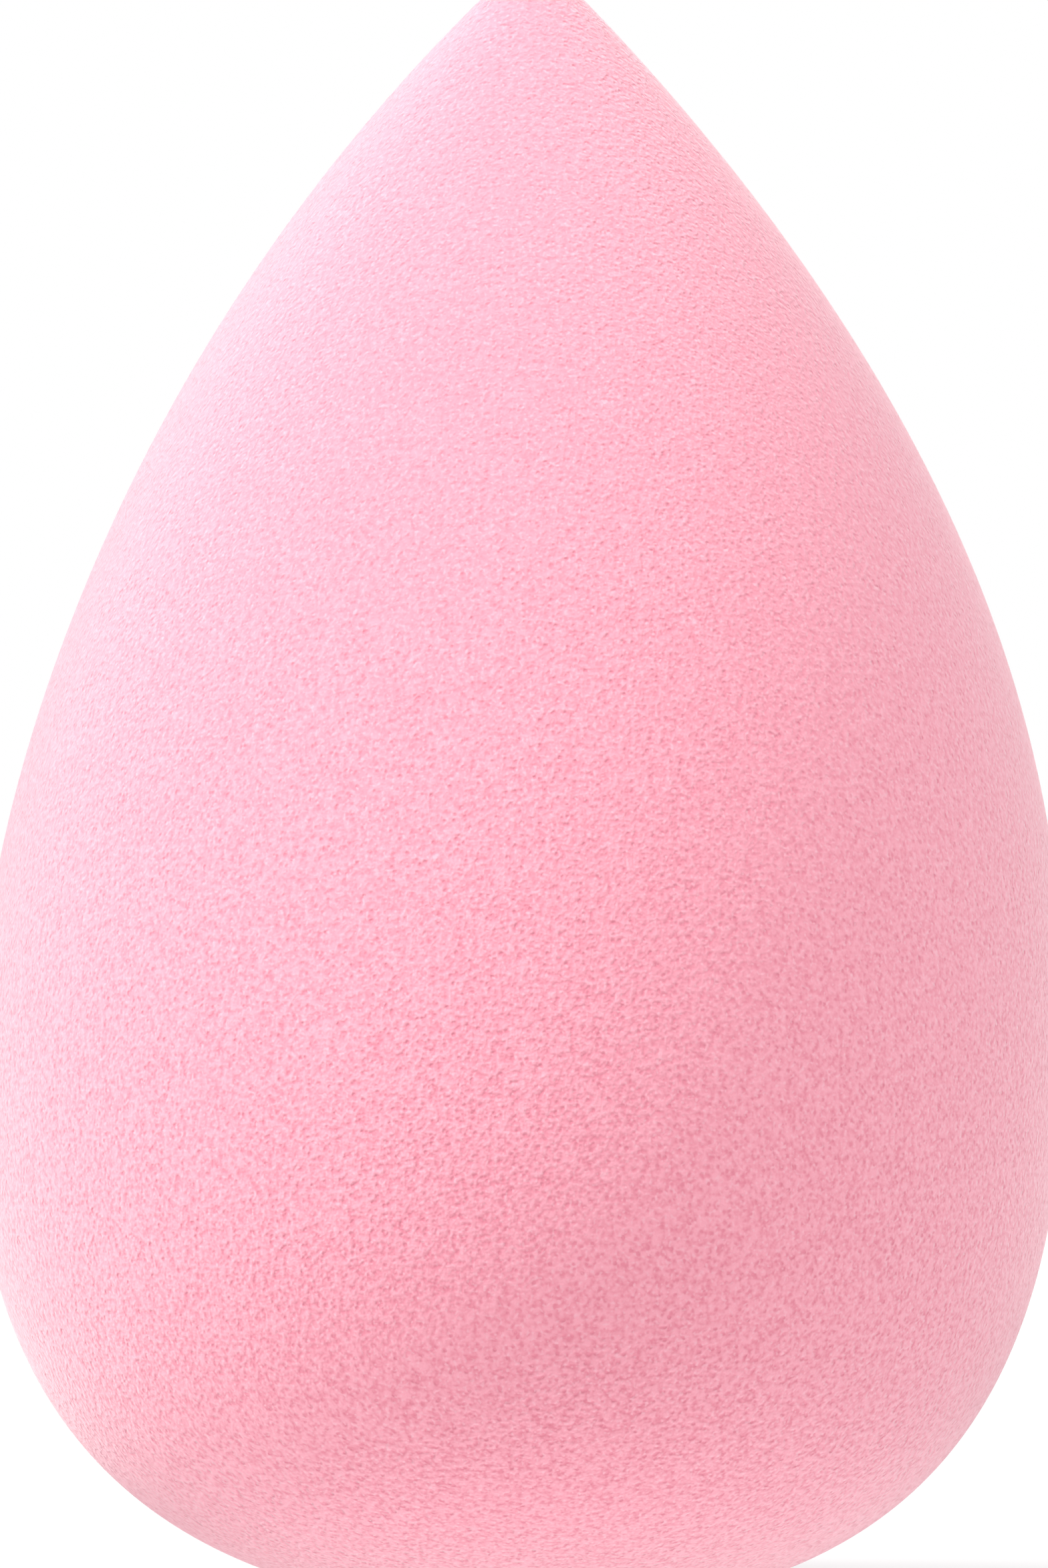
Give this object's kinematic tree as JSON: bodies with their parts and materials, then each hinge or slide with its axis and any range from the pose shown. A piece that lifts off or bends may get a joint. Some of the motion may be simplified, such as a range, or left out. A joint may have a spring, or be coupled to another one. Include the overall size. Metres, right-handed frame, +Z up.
{
  "type": "makeup sponge",
  "caption": "Teardrop makeup sponge of soft open-cell foam: a broad round base for blending and a tapered tip for small areas, standing on a small flat.",
  "frame": {"origin": "centre of the small flat on the underside that the sponge stands on", "axes": "+Z up along the axis of revolution, through the tip; X and Y are free, because the form is round"},
  "size_m": [0.04, 0.04, 0.0595],
  "materials": {
    "foam": "matte"
  },
  "bodies": {
    "root": {"foam_body": "foam"}
  },
  "joints": []
}
